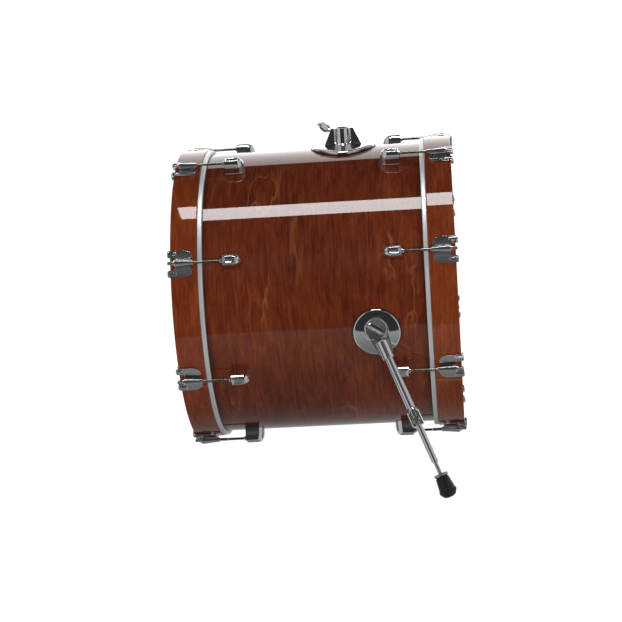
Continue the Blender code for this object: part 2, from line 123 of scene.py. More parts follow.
def eased(bm, width, segments=2, limit=35):
    # rounds every edge sharper than the limit
    sharp = [edge for edge in bm.edges
             if len(edge.link_faces) == 2 and edge.calc_face_angle(0) > math.radians(limit)]
    bmesh.ops.bevel(bm, geom=sharp, offset=width, offset_type="OFFSET", affect="EDGES",
                    segments=segments, profile=0.5, clamp_overlap=True, material=-1)
    return bm


def joined(parts):
    whole = bmesh.new()
    for part in parts:
        scratch = bpy.data.meshes.new("scratch")
        part.to_mesh(scratch)
        part.free()
        whole.from_mesh(scratch)
        bpy.data.meshes.remove(scratch)
    return whole


def plate(corners, rounds, low, high):
    # flat outline with rounded corners, given a thickness
    bm = bmesh.new()
    verts = [bm.verts.new((x, y, low)) for x, y in corners]
    bm.faces.new(verts)
    for vert, radius in zip(verts, rounds):
        if radius:
            bmesh.ops.bevel(bm, geom=[vert], offset=radius, offset_type="OFFSET", affect="VERTICES",
                            segments=7, profile=0.5, clamp_overlap=False, material=-1)
    raised = bmesh.ops.extrude_face_region(bm, geom=list(bm.faces))["geom"]
    top = [item for item in raised if isinstance(item, bmesh.types.BMVert)]
    bmesh.ops.translate(bm, vec=(0, 0, high - low), verts=top)
    bmesh.ops.recalc_face_normals(bm, faces=bm.faces)
    return bm


def sliced(bm, reach, cuts):
    # rows of edges across Y, so that the shape can be bent round the drum
    for i in range(1, cuts):
        y = reach * (2 * i / cuts - 1)
        everything = list(bm.verts) + list(bm.edges) + list(bm.faces)
        bmesh.ops.bisect_plane(bm, geom=everything, dist=1e-6, plane_co=(0, y, 0), plane_no=(0, 1, 0))
    return bm


def wrapped(bm, radius):
    # bends a flat shape round a cylinder along X under it
    for vert in bm.verts:
        angle = vert.co.y / radius
        reach = radius + vert.co.z
        vert.co.y = reach * math.sin(angle)
        vert.co.z = reach * math.cos(angle) - radius
    return bm


def threaded(radius, depth, pitch, start, end, steps=14):
    outline = [(radius - depth, start)]
    turns = int((end - start) / pitch)
    for i in range(turns):
        low = start + i * pitch
        outline += [(radius, low + pitch * 0.35), (radius, low + pitch * 0.55),
                    (radius - depth, low + pitch)]
    return lengthwise(turned(outline, steps))


def sidewise(bm, side):
    # the same shape for the other side of the drum
    if side < 0:
        bmesh.ops.scale(bm, vec=(1, -1, 1), verts=bm.verts)
        bmesh.ops.reverse_faces(bm, faces=bm.faces)
    return bm


def addPiece(name, bm, finish, body, nodes, place=None, sharp=30, finishes=()):
    if place is not None:
        moved(bm, place)
    mesh = bpy.data.meshes.new(name)
    bm.to_mesh(mesh)
    bm.free()
    piece = bpy.data.objects.new(name, mesh)
    bpy.context.collection.objects.link(piece)
    mesh.materials.append(finish)
    for extra in finishes:
        mesh.materials.append(extra)
    mesh.shade_smooth()
    mesh.set_sharp_from_angle(angle=math.radians(sharp))
    flats = piece.modifiers.new("evenNormals", "WEIGHTED_NORMAL")
    flats.weight = 80
    flats.keep_sharp = True
    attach(piece, body)
    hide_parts(*nodes)


# Finishes: node networks for wood, metal, rubber and film


def newFinish(name):
    material = bpy.data.materials.new(name)
    material.use_nodes = True
    nodes = material.node_tree.nodes
    return material, nodes, material.node_tree.links, nodes["Principled BSDF"]


def setSockets(shader, **values):
    names = {"colour": "Base Color", "roughness": "Roughness", "metallic": "Metallic",
             "specular": "Specular IOR Level", "coat": "Coat Weight", "coatRoughness": "Coat Roughness",
             "coatIor": "Coat IOR"}
    for key, value in values.items():
        shader.inputs[names[key]].default_value = (*value, 1) if isinstance(value, tuple) else value


def drumPoint(nodes, links):
    # a point of the piece in the drum's own frame
    spot = nodes.new("ShaderNodeTexCoord")
    mapping = nodes.new("ShaderNodeMapping")
    back = drumFrame.inverted()
    mapping.inputs["Rotation"].default_value = back.to_euler("XYZ")
    mapping.inputs["Location"].default_value = back.translation
    links.new(spot.outputs["Object"], mapping.inputs["Vector"])
    return mapping.outputs["Vector"]


def mathNode(nodes, links, operation, first, second=None):
    node = nodes.new("ShaderNodeMath")
    node.operation = operation
    for socket, value in zip(node.inputs, (first, second)):
        if value is None:
            continue
        if isinstance(value, (int, float)):
            socket.default_value = value
        else:
            links.new(value, socket)
    return node.outputs[0]


def unrolled(nodes, links, radius):
    # the drum's surface laid flat: X along the drum, Y round it, Z through the wall
    split = nodes.new("ShaderNodeSeparateXYZ")
    links.new(drumPoint(nodes, links), split.inputs[0])
    x, y, z = split.outputs
    around = mathNode(nodes, links, "ARCTAN2", y, z)
    arc = mathNode(nodes, links, "MULTIPLY", around, radius)
    squareY = mathNode(nodes, links, "MULTIPLY", y, y)
    squareZ = mathNode(nodes, links, "MULTIPLY", z, z)
    depth = mathNode(nodes, links, "SQRT", mathNode(nodes, links, "ADD", squareY, squareZ))
    flat = nodes.new("ShaderNodeCombineXYZ")
    for socket, value in zip(flat.inputs, (x, arc, depth)):
        links.new(value, socket)
    return flat.outputs[0]


def stretched(nodes, links, vector, scale, shift=(0, 0, 0)):
    mapping = nodes.new("ShaderNodeMapping")
    mapping.inputs["Scale"].default_value = scale
    mapping.inputs["Location"].default_value = shift
    links.new(vector, mapping.inputs["Vector"])
    return mapping.outputs["Vector"]


def noise(nodes, links, vector, scale, detail=3, roughness=0.5, distortion=0):
    node = nodes.new("ShaderNodeTexNoise")
    node.inputs["Scale"].default_value = scale
    node.inputs["Detail"].default_value = detail
    node.inputs["Roughness"].default_value = roughness
    node.inputs["Distortion"].default_value = distortion
    links.new(vector, node.inputs["Vector"])
    return node.outputs["Fac"]


def ramp(nodes, links, value, stops):
    node = nodes.new("ShaderNodeValToRGB")
    elements = node.color_ramp.elements
    while len(elements) < len(stops):
        elements.new(0.5)
    for element, (position, colour) in zip(elements, stops):
        element.position = position
        element.color = (*colour, 1)
    links.new(value, node.inputs["Fac"])
    return node.outputs["Color"]


def mixed(nodes, links, factor, first, second, blend="MIX"):
    node = nodes.new("ShaderNodeMix")
    node.data_type = "RGBA"
    node.blend_type = blend
    colourIn = [socket for socket in node.inputs if socket.type == "RGBA"]
    factorIn = [socket for socket in node.inputs if socket.type == "VALUE"][0]
    for socket, value in ((factorIn, factor), (colourIn[0], first), (colourIn[1], second)):
        if isinstance(value, (int, float)):
            socket.default_value = value
        elif isinstance(value, tuple):
            socket.default_value = (*value, 1)
        else:
            links.new(value, socket)
    return [socket for socket in node.outputs if socket.type == "RGBA"][0]


def bumped(nodes, links, shader, height, strength, distance, socket="Normal"):
    bump = nodes.new("ShaderNodeBump")
    bump.inputs["Strength"].default_value = strength
    bump.inputs["Distance"].default_value = distance
    links.new(height, bump.inputs["Height"])
    links.new(bump.outputs["Normal"], shader.inputs[socket])


white = (1, 1, 1)
black = (0, 0, 0)
grainShare = {"figure": 0.38, "fibre": 0.32, "cloud": 0.30}


def lacqueredWood(name, look):
    # stained maple under clear lacquer; the grain runs round the drum
    material, nodes, links, shader = newFinish(name)
    flat = unrolled(nodes, links, look["radius"])
    figureSpot = stretched(nodes, links, flat, (1, 0.22, 0.2), look["shift"])
    figure = noise(nodes, links, figureSpot, 85, 5, 0.6, 0.8)
    fibreSpot = stretched(nodes, links, flat, (1, 0.045, 0.3))
    fibre = noise(nodes, links, fibreSpot, look["fibreScale"], 4, 0.62)
    cloudSpot = stretched(nodes, links, flat, (1, 0.55, 0.2), look["shift"])
    cloud = noise(nodes, links, cloudSpot, 6, 3, 0.5, 0.6)
    grain = mathNode(nodes, links, "ADD", mathNode(nodes, links, "MULTIPLY", figure, grainShare["figure"]),
                     mathNode(nodes, links, "MULTIPLY", fibre, grainShare["fibre"]))
    grain = mathNode(nodes, links, "ADD", grain,
                     mathNode(nodes, links, "MULTIPLY", cloud, grainShare["cloud"]))
    colour = ramp(nodes, links, grain, look["stops"])
    # short dark pores and flecks
    poreSpot = stretched(nodes, links, flat, (1, 0.07, 0.3), (0.3, 0.1, 0))
    pores = noise(nodes, links, poreSpot, 1100, 2, 0.5)
    fleck = ramp(nodes, links, pores, [(0.30, (0.62, 0.55, 0.5)), (0.46, white)])
    colour = mixed(nodes, links, 0.55, colour, fleck, "MULTIPLY")
    # thin pale growth lines that wander across the grain here and there
    wander = noise(nodes, links, stretched(nodes, links, flat, (1, 0.24, 0.1), (0.7, 0.2, 0)),
                   look["lineScale"], 4, 0.6, 0.7)
    offset = mathNode(nodes, links, "ABSOLUTE", mathNode(nodes, links, "SUBTRACT", wander, 0.5))
    line = ramp(nodes, links, offset, [(0.0, white), (0.003, (0.7, 0.7, 0.7)), (0.009, black)])
    region = noise(nodes, links, stretched(nodes, links, flat, (1, 0.7, 0.1), (0.1, 0.9, 0)), 8, 2)
    patch = ramp(nodes, links, region, [(0.53, black), (0.62, white)])
    where = mixed(nodes, links, 1.0, line, patch, "MULTIPLY")
    strength = mathNode(nodes, links, "MULTIPLY", where, look["lineStrength"])
    colour = mixed(nodes, links, strength, colour, look["lineColour"])
    if look.get("paintedShadeFrom"):
        # painted shade: the shell darkens towards its ends where it runs under the flesh hoops, standing in
        # for the shadow they cast
        ends = nodes.new("ShaderNodeSeparateXYZ")
        links.new(flat, ends.inputs[0])
        spread = 4  # so that the ends fill most of the ramp
        fromMiddle = mathNode(nodes, links, "ABSOLUTE", ends.outputs[0])
        reach = mathNode(nodes, links, "MULTIPLY", fromMiddle, spread)
        start = look["paintedShadeFrom"] * spread
        shade = ramp(nodes, links, reach, [(start, white), (start + 0.045, (0.5, 0.48, 0.46))])
        colour = mixed(nodes, links, 1.0, colour, shade, "MULTIPLY")
    if look.get("scarf"):
        # slanted glue joint where the hoop's ends meet
        split = nodes.new("ShaderNodeSeparateXYZ")
        links.new(flat, split.inputs[0])
        lean = mathNode(nodes, links, "MULTIPLY", split.outputs[0], 0.03)
        slanted = mathNode(nodes, links, "ADD", split.outputs[1], lean)
        along = mathNode(nodes, links, "SUBTRACT", slanted, look["scarf"])
        away = mathNode(nodes, links, "ABSOLUTE", along)
        seam = ramp(nodes, links, away, [(0.0, white), (0.0011, black)])
        seamStrength = mathNode(nodes, links, "MULTIPLY", seam, 0.45)
        colour = mixed(nodes, links, seamStrength, colour, (0.33, 0.13, 0.05))
    links.new(colour, shader.inputs["Base Color"])
    setSockets(shader, roughness=0.45, specular=0.0, coat=1.0, coatRoughness=0.02, coatIor=1.5)
    bumped(nodes, links, shader, fibre, 0.12, 0.0004)
    wave = noise(nodes, links, stretched(nodes, links, flat, (1, 0.6, 0)), 9, 1, 0.4)
    bumped(nodes, links, shader, wave, look["wave"], 0.002, "Coat Normal")
    return material


def bareMaple(name, radius):
    material, nodes, links, shader = newFinish(name)
    flat = unrolled(nodes, links, radius)
    fibre = noise(nodes, links, stretched(nodes, links, flat, (1, 0.04, 0.3)), 160, 5, 0.6)
    plies = noise(nodes, links, stretched(nodes, links, flat, (0, 0, 1)), 900, 0)
    colour = ramp(nodes, links, fibre, [(0.3, (0.36, 0.2, 0.1)), (0.7, (0.58, 0.37, 0.2))])
    glue = ramp(nodes, links, plies, [(0.4, (0.5, 0.42, 0.35)), (0.6, white)])
    colour = mixed(nodes, links, 0.35, colour, glue, "MULTIPLY")
    links.new(colour, shader.inputs["Base Color"])
    setSockets(shader, roughness=0.5, specular=0.3)
    bumped(nodes, links, shader, fibre, 0.2, 0.0003)
    return material


def plated(name, look):
    # chrome and other plated or bare metal, with faint polishing marks and smudges
    material, nodes, links, shader = newFinish(name)
    spot = nodes.new("ShaderNodeTexCoord").outputs["Object"]
    smudge = noise(nodes, links, spot, look["smudgeScale"], 4, 0.55)
    marks = noise(nodes, links, spot, look["markScale"], 2, 0.5)
    tint = mixed(nodes, links, smudge, look["dark"], look["light"])
    links.new(tint, shader.inputs["Base Color"])
    gloss = nodes.new("ShaderNodeMapRange")
    links.new(smudge, gloss.inputs["Value"])
    gloss.inputs["From Min"].default_value = 0.3
    gloss.inputs["From Max"].default_value = 0.7
    gloss.inputs["To Min"].default_value = look["roughness"][0]
    gloss.inputs["To Max"].default_value = look["roughness"][1]
    links.new(gloss.outputs[0], shader.inputs["Roughness"])
    setSockets(shader, metallic=1.0)
    bumped(nodes, links, shader, marks, look["bump"], 0.0002)
    return material


def brushedHoop(name, radius):
    material, nodes, links, shader = newFinish(name)
    flat = unrolled(nodes, links, radius)
    brush = noise(nodes, links, stretched(nodes, links, flat, (1, 0.02, 1)), 1800, 3, 0.6)
    smudge = noise(nodes, links, stretched(nodes, links, flat, (1, 0.4, 1)), 22, 3, 0.5)
    tint = mixed(nodes, links, smudge, (0.60, 0.61, 0.62), (0.74, 0.75, 0.76))
    links.new(tint, shader.inputs["Base Color"])
    gloss = nodes.new("ShaderNodeMapRange")
    links.new(brush, gloss.inputs["Value"])
    gloss.inputs["To Min"].default_value = 0.3
    gloss.inputs["To Max"].default_value = 0.5
    links.new(gloss.outputs[0], shader.inputs["Roughness"])
    setSockets(shader, metallic=0.55)
    bumped(nodes, links, shader, brush, 0.1, 0.0002)
    return material


def moulded(name, look):
    # rubber and coated film: fine stipple, slight tone changes
    material, nodes, links, shader = newFinish(name)
    spot = nodes.new("ShaderNodeTexCoord").outputs["Object"]
    tone = noise(nodes, links, spot, look["toneScale"], 3, 0.5)
    stipple = noise(nodes, links, spot, look["stippleScale"], 3, 0.6)
    links.new(mixed(nodes, links, tone, look["dark"], look["light"]), shader.inputs["Base Color"])
    gloss = nodes.new("ShaderNodeMapRange")
    links.new(stipple, gloss.inputs["Value"])
    gloss.inputs["To Min"].default_value = look["roughness"][0]
    gloss.inputs["To Max"].default_value = look["roughness"][1]
    links.new(gloss.outputs[0], shader.inputs["Roughness"])
    setSockets(shader, specular=look["specular"])
    bumped(nodes, links, shader, stipple, look["bump"], look["bumpDepth"])
    return material


shellLook = {
    "radius": 11 * inch, "fibreScale": 240, "lineScale": 6, "lineStrength": 0.5, "shift": (0.2, 0.4, 0),
    "wave": 0.05,
    "stops": [(0.36, (0.056, 0.0096, 0.0046)), (0.46, (0.102, 0.0186, 0.0072)),
              (0.54, (0.140, 0.0272, 0.0092)), (0.65, (0.205, 0.0460, 0.0140))],
    # the last value sets where the painted shade beside the flesh hoops begins, measured from the middle of
    # the drum
    "lineColour": (0.30, 0.115, 0.040), "paintedShadeFrom": 0.1945,
}
hoopLook = {
    "radius": 0.289, "fibreScale": 380, "lineScale": 9, "lineStrength": 0.4, "shift": (0.9, 0.1, 0),
    "wave": 0.03, "scarf": -0.595,
    "stops": [(0.36, (0.100, 0.0170, 0.0056)), (0.46, (0.156, 0.0285, 0.0082)),
              (0.54, (0.202, 0.0390, 0.0105)), (0.65, (0.268, 0.0600, 0.0160))],
    "lineColour": (0.36, 0.14, 0.048),
}
chromeLook = {"smudgeScale": 30, "markScale": 300, "bump": 0.02,
              "dark": (0.66, 0.67, 0.69), "light": (0.76, 0.77, 0.78), "roughness": (0.035, 0.09)}
zincLook = {"smudgeScale": 120, "markScale": 900, "bump": 0.15,
            "dark": (0.38, 0.38, 0.38), "light": (0.52, 0.52, 0.51), "roughness": (0.38, 0.55)}
rodLook = {"smudgeScale": 90, "markScale": 700, "bump": 0.1,
           "dark": (0.30, 0.27, 0.24), "light": (0.46, 0.43, 0.39), "roughness": (0.16, 0.28)}
rubberLook = {"toneScale": 90, "stippleScale": 1400, "dark": (0.006, 0.006, 0.007),
              "light": (0.012, 0.012, 0.013), "roughness": (0.32, 0.48), "specular": 0.4,
              "bump": 0.3, "bumpDepth": 0.0003}
filmLook = {"toneScale": 14, "stippleScale": 1500, "dark": (0.74, 0.74, 0.71), "light": (0.82, 0.82, 0.80),
            "roughness": (0.5, 0.68), "specular": 0.35, "bump": 0.35, "bumpDepth": 0.0002}

shellWood = lacqueredWood("shellLacquer", shellLook)
hoopWood = lacqueredWood("hoopLacquer", hoopLook)
mapleInside = bareMaple("bareMaple", 11 * inch)
chrome = plated("chromePlate", chromeLook)
zinc = plated("zincPlate", zincLook)
rodSteel = plated("rodSteel", rodLook)
aluminium = brushedHoop("fleshHoopAluminium", 0.287)
rubber = moulded("blackRubber", rubberLook)
film = moulded("coatedFilm", filmLook)
print("finishes made")


# Camera, lights and floor

camera = bpy.data.objects.new("camera", bpy.data.cameras.new("camera"))
bpy.context.collection.objects.link(camera)
bpy.context.scene.camera = camera
camera.data.lens = 103.06
camera.data.sensor_width = 36
camera.location = (-3.5187, -0.2074, 1.0118)
camera.rotation_euler = Vector((0.97565, 0.06506, -0.20944)).to_track_quat("-Z", "Y").to_euler()
bpy.context.scene.view_settings.view_transform = "Standard"


def addLamp(name, place, target, size, radiance, inGloss, inDiffuse):
    # soft rectangular light; its power follows from how bright its face looks
    data = bpy.data.lights.new(name, "AREA")
    data.shape = "RECTANGLE"
    data.size, data.size_y = size
    data.energy = radiance * math.pi * size[0] * size[1]
    lamp = bpy.data.objects.new(name, data)
    bpy.context.collection.objects.link(lamp)
    lamp.location = place
    lamp.rotation_euler = (Vector(target) - Vector(place)).to_track_quat("-Z", "Y").to_euler()
    lamp.visible_glossy = inGloss
    lamp.visible_diffuse = inDiffuse
    lamp.visible_camera = False


middle = tuple(drumCentre)
addLamp("overheadStrip", (-0.745, 0.15, 2.95), (-0.745, 0.15, 0), (0.53, 1.35), 12.5, True, False)
addLamp("backWall", (3.0, 0, 1.75), (0, 0, 1.2), (7.0, 3.1), 1.6, True, False)
addLamp("frontFill", (-3.6, -0.5, 0.95), middle, (1.6, 1.6), 9.5, False, True)
addLamp("topFill", (-0.9, 0, 3.2), middle, (2.4, 2.4), 0.8, False, True)
addLamp("backFill", (3.0, 1.0, 2.2), middle, (2.6, 2.6), 2.0, False, True)

# what the lacquer and chrome mirror: white sweep near the drum, dark room in front, white wall behind
world = bpy.data.worlds.new("studio")
bpy.context.scene.world = world
world.use_nodes = True
skyNodes = world.node_tree.nodes
skyLinks = world.node_tree.links
skyNodes.clear()
sky = skyNodes.new("ShaderNodeBackground")
skyOut = skyNodes.new("ShaderNodeOutputWorld")
skyWay = skyNodes.new("ShaderNodeTexCoord")
skySplit = skyNodes.new("ShaderNodeSeparateXYZ")
skyLinks.new(skyWay.outputs["Generated"], skySplit.inputs[0])


def grey(tone):
    return (tone, tone, tone)


def skyShare(output):
    # a direction's part from -1..1 to 0..1
    return mathNode(skyNodes, skyLinks, "ADD", mathNode(skyNodes, skyLinks, "MULTIPLY", output, 0.5), 0.5)


room = ramp(skyNodes, skyLinks, skyShare(skySplit.outputs[2]),
            [(0.0, grey(0.16)), (0.14, grey(0.24)), (0.300, grey(0.36)), (0.312, (0.035, 0.033, 0.032)),
             (0.66, (0.035, 0.034, 0.034)), (0.77, grey(0.14)), (0.85, grey(0.05)), (1.0, grey(0.03))])
wall = ramp(skyNodes, skyLinks, skyShare(skySplit.outputs[2]),
            [(0.0, grey(0.2)), (0.49, grey(0.68)), (0.5, grey(0.7)), (0.86, grey(0.03))])
behind = ramp(skyNodes, skyLinks, skyShare(skySplit.outputs[0]), [(0.55, black), (0.65, white)])
aside = mathNode(skyNodes, skyLinks, "ABSOLUTE", skySplit.outputs[1])
cards = ramp(skyNodes, skyLinks, aside, [(0.42, black), (0.5, white), (0.86, white), (0.95, grey(0.15))])
studio = mixed(skyNodes, skyLinks, behind, room, wall)
studio = mixed(skyNodes, skyLinks, cards, studio, grey(0.55))
skyPath = skyNodes.new("ShaderNodeLightPath")
skyTone = mixed(skyNodes, skyLinks, skyPath.outputs["Is Camera Ray"], studio, white)
skyLinks.new(skyTone, sky.inputs["Color"])
skyLinks.new(sky.outputs[0], skyOut.inputs[0])

floorBm = bmesh.new()
bmesh.ops.create_grid(floorBm, x_segments=1, y_segments=1, size=30)
floorMesh = bpy.data.meshes.new("floor")
floorBm.to_mesh(floorMesh)
floorBm.free()
floor = bpy.data.objects.new("floor", floorMesh)
bpy.context.collection.objects.link(floor)
floorFinish, floorNodes, floorLinks, floorShader = newFinish("paleFloor")
setSockets(floorShader, colour=grey(0.35), roughness=0.9, specular=0.0)
floorShader.inputs["Emission Color"].default_value = (1, 1, 1, 1)
floorShader.inputs["Emission Strength"].default_value = 0.97
floorMesh.materials.append(floorFinish)
floor.visible_glossy = False
floor.visible_diffuse = False
print("camera, lights and floor set")


# Shell and heads

shellSize = {"radius": 11 * inch, "half": 9 * inch, "wall": 0.0072, "setback": 0.0022, "edge": 0.005,
             "steps": 256}


def makeShell():
    size = shellSize
    half = size["half"]
    radius = size["radius"]
    inner = radius - size["wall"]
    outline = [(radius, -half + size["setback"]), (radius, half - size["setback"]),
               (radius - 0.0006, half - 0.0008), (radius - size["setback"], half),
               (inner, half - size["edge"]), (inner, -half + size["edge"]),
               (radius - size["setback"], -half), (radius - 0.0006, -half + 0.0008)]
    bm = lengthwise(turned(outline, size["steps"], closed=True))
    for face in bm.faces:
        across = math.hypot(face.calc_center_median().y, face.calc_center_median().z)
        outside = across > radius - 0.0009
        face.material_index = 0 if outside else 1
    addPiece("drumShell", bm, shellWood, "drum", ["shell"], drumFrame, 40,
             [mapleInside])


headSize = {"film": 0.0005, "collar": 0.0196, "steps": 224}


def makeHead(name, end):
    radius = shellSize["radius"] + skin
    flat = shellSize["half"] + skin
    thick = headSize["film"]
    turn = shellSize["setback"]
    hem = shellSize["half"] - headSize["collar"]
    outline = [(0.02, flat + thick), (radius * 0.6, flat + thick), (radius - 2.6 * turn, flat + thick)]
    bends = 6
    for i in range(bends + 1):
        angle = math.pi / 2 * i / bends
        outline.append((radius + thick - turn + turn * math.sin(angle),
                        flat + thick - turn + turn * math.cos(angle)))
    outline += [(radius + thick, hem), (radius, hem), (radius, flat - turn), (radius - turn, flat),
                (0.02, flat)]
    bm = turned(outline, headSize["steps"])
    place = drumFrame @ Matrix.Rotation(math.pi / 2 if end > 0 else -math.pi / 2, 4, "Y")
    addPiece(name, bm, film, "drum", [name.replace("Film", "_head")], place, 40)


makeShell()
makeHead("resonantFilm", 1)
makeHead("batterFilm", -1)
print("shell and heads made")


# Hoops and flesh hoops

hoopSize = {"face": 0.267, "width": 0.0507, "inner": 0.2806, "outer": 0.289, "edge": 0.0016,
            "fleshWidth": 0.0087, "fleshInner": 0.2805, "fleshOuter": 0.2872, "curl": 0.0022,
            "steps": 256}


def makeHoops(name, end):
    size = hoopSize
    flip = Matrix.Rotation(0 if end > 0 else math.pi, 4, "Z")
    inside = size["face"] - size["width"]
    outline = [(size["inner"], inside), (size["outer"], inside), (size["outer"], size["face"]),
               (size["inner"], size["face"])]
    bm = lengthwise(turned(outline, size["steps"], closed=True))
    eased(bm, size["edge"], 3)
    addPiece(name + "Hoop", bm, hoopWood, name + "_tension", [name + "_hoop"],
             drumFrame @ flip)
    outside = inside - skin
    inner = outside - size["fleshWidth"]
    crown = size["fleshOuter"]
    curl = size["curl"]
    channel = [(size["fleshInner"], outside), (size["fleshInner"], inner), (crown - curl, inner)]
    curls = 6
    for i in range(curls + 1):
        angle = math.pi / 2 * i / curls
        channel.append((crown - curl + curl * math.sin(angle), inner + curl - curl * math.cos(angle)))
    channel += [(crown, outside - 0.0008), (crown - 0.0008, outside)]
    bm = lengthwise(turned(channel, size["steps"], closed=True))
    addPiece(name + "FleshHoop", bm, aluminium, name + "_tension",
             [name + "_flesh_hoop"], drumFrame @ flip)


makeHoops("resonant", 1)
makeHoops("batter", -1)
print("hoops made")


# Lugs

smoothUpTo = 38  # degrees between faces that still shade as one
stations = 8
firstStation = math.radians(22.5)
lugSize = {"centre": 0.149, "half": 0.0192, "line": 0.2988, "collar": 0.0033, "collarBore": 0.0031,
           "collarWide": 0.0046, "swivel": 0.0038}


def lugBody():
    # bullet outline drawn upward in steps: height, nose, blunt end, half width
    size = lugSize
    half = size["half"]
    levels = [(skin, -half, half, 0.0122), (0.0022, -half, half, 0.0122),
              (0.0030, -0.0187, 0.0190, 0.0116), (0.0110, -0.0184, 0.0190, 0.0114),
              (0.0170, -0.0174, 0.0189, 0.0111),
              (0.0210, -0.0160, 0.0187, 0.0105), (0.0240, -0.0142, 0.0182, 0.0095),
              (0.0260, -0.0122, 0.0174, 0.0082), (0.0272, -0.0100, 0.0162, 0.0068),
              (0.0275, -0.0090, 0.0152, 0.0060)]
    bm = bmesh.new()
    bmesh.ops.create_circle(bm, cap_ends=True, segments=40, radius=1)
    for vert in bm.verts:
        x, y = vert.co.x, vert.co.y
        if x > 0:  # squares off the blunt end
            grow = min(1 / max(abs(x), 1e-6), 1 / max(abs(y), 1e-6))
            blend = min(1, x * 3)
            vert.co.x = x * (1 + (grow - 1) * blend)
            vert.co.y = y * (1 + (grow - 1) * blend)
        vert.co.z = 0
    base = [(vert.co.x, vert.co.y) for vert in bm.verts]
    ring = list(bm.verts)
    top = list(bm.faces)[0]

    def shape(verts, level):
        height, nose, blunt, width = level
        for vert, (x, y) in zip(verts, base):
            vert.co = ((nose + blunt) / 2 + x * (blunt - nose) / 2, y * width, height)

    shape(ring, levels[0])
    for level in levels[1:]:
        made = bmesh.ops.extrude_discrete_faces(bm, faces=[top])["faces"]
        top = made[0]
        low = ring
        ring = [None] * len(low)
        for loop in top.loops:
            vert = loop.vert
            nearest = min(range(len(low)), key=lambda i: (low[i].co - vert.co).length)
            ring[nearest] = vert
        shape(ring, level)
    bmesh.ops.inset_individual(bm, faces=[top], thickness=0.0010, depth=0)
    bmesh.ops.inset_individual(bm, faces=[top], thickness=0.0008, depth=-0.0006)
    bmesh.ops.inset_individual(bm, faces=[top], thickness=0.0014, depth=-0.0004)
    bmesh.ops.contextual_create(bm, geom=[edge for edge in bm.edges if edge.is_boundary])
    bmesh.ops.recalc_face_normals(bm, faces=bm.faces)
    return bm


def makeLugs():
    size = lugSize
    line = size["line"] - shellSize["radius"]
    start = size["half"] - 0.002
    collarEnd = size["half"] + size["collar"]
    rim = [(size["collarBore"], start), (size["collarWide"], start),
           (size["collarWide"], size["half"] + 0.0021), (0.0039, collarEnd), (size["collarBore"], collarEnd)]
    for name, end in (("resonant", 1), ("batter", -1)):
        for i in range(stations):
            collar = lengthwise(turned(rim, 24, closed=True))
            swivel = bar(size["swivel"], -0.006, 0.012, 20)
            fittings = joined([collar, swivel])
            shifted(fittings, 0, 0, line)
            bm = joined([eased(lugBody(), 0.0003, 2, 50), fittings])
            angle = firstStation + math.tau * i / stations
            place = station(angle, size["centre"], shellSize["radius"], end)
            addPiece(f"{name}Lug{i + 1}", bm, chrome, "drum", [f"{name}_lug_{i + 1}"], place,
                     smoothUpTo)


makeLugs()
print("lugs made")


# Claws and tension rods

# lengths run inward from the hoop's face, heights outward from its outer surface
clawSize = {"half": 0.0255, "reach": 0.042, "lip": 0.0045, "plate": 0.0036, "hook": 0.0078, "notch": 0.0118,
            "mouth": 0.0098, "rib": 0.0186, "tubeWide": 0.0078, "tubeEnd": 0.0049, "line": 0.0098,
            "bore": 0.0033, "flutes": 8, "flute": 0.05, "shank": 0.0029, "thread": 0.00262,
            "pitch": 0.0009, "key": 0.0030, "threadEnd": -0.063}


def clawCasting():
    size = clawSize
    lip = size["lip"]
    half = size["half"]
    back = -size["reach"]
    mouth = -size["mouth"]
    web = plate([(back + 0.003, -0.011), (mouth, -0.011), (mouth, 0.011), (back + 0.003, 0.011)],
                [0.002, 0, 0, 0.002], skin, 0.0017)
    parts = [sliced(web, 0.011, 6)]
    for side in (-1, 1):
        # lobe with its prong, raised rib and rolled hook
        lobe = plate([(back, 0.0094), (mouth, 0.0094), (mouth + 0.0016, size["notch"]),
                      (lip, size["notch"]), (lip, half), (back, half)],
                     [0.003, 0.0015, 0.0015, 0.0018, 0.0045, 0.0168], skin, size["plate"])
        sliced(lobe, half, 14)
        eased(lobe, 0.0009, 3, 60)
        hook = block((skin, size["rib"] - 0.0052, -size["hook"]),
                     (lip + 0.0006, size["rib"] + 0.0056, 0.0048))
        eased(hook, 0.0019, 4)
        rib = block((-0.0128, size["rib"] - 0.0034, 0.002), (lip, size["rib"] + 0.0034, 0.0062))
        eased(rib, 0.0016, 4)
        parts += [sidewise(piece, side) for piece in (lobe, hook, rib)]
    for part in parts:
        wrapped(part, hoopSize["outer"])
    saddle = eased(block((back + 0.001, -0.0045, 0.0014), (mouth - 0.0008, 0.0045, size["line"])), 0.0006)
    wide = size["tubeWide"]
    narrow = size["tubeEnd"]
    bore = size["bore"]
    tube = lengthwise(turned([(bore, back - 0.003), (narrow - 0.0006, back - 0.003),
                              (narrow, back - 0.0024), (narrow + 0.0006, back + 0.008),
                              (wide, mouth - 0.0022), (wide, mouth - 0.0012),
                              (wide - 0.0008, mouth - 0.0004), (0.0046, mouth - 0.0004),
                              (bore, mouth - 0.0030)], 64, closed=True))
    flute = size["flute"]
    for vert in tube.verts:  # shallow flutes along the flare
        if math.hypot(vert.co.y, vert.co.z) > narrow - 0.0002:
            dip = 1 - flute - flute * math.cos(size["flutes"] * math.atan2(vert.co.y, vert.co.z))
            vert.co.y *= dip
            vert.co.z *= dip
    shifted(tube, 0, 0, size["line"])
    return parts + [saddle, tube]


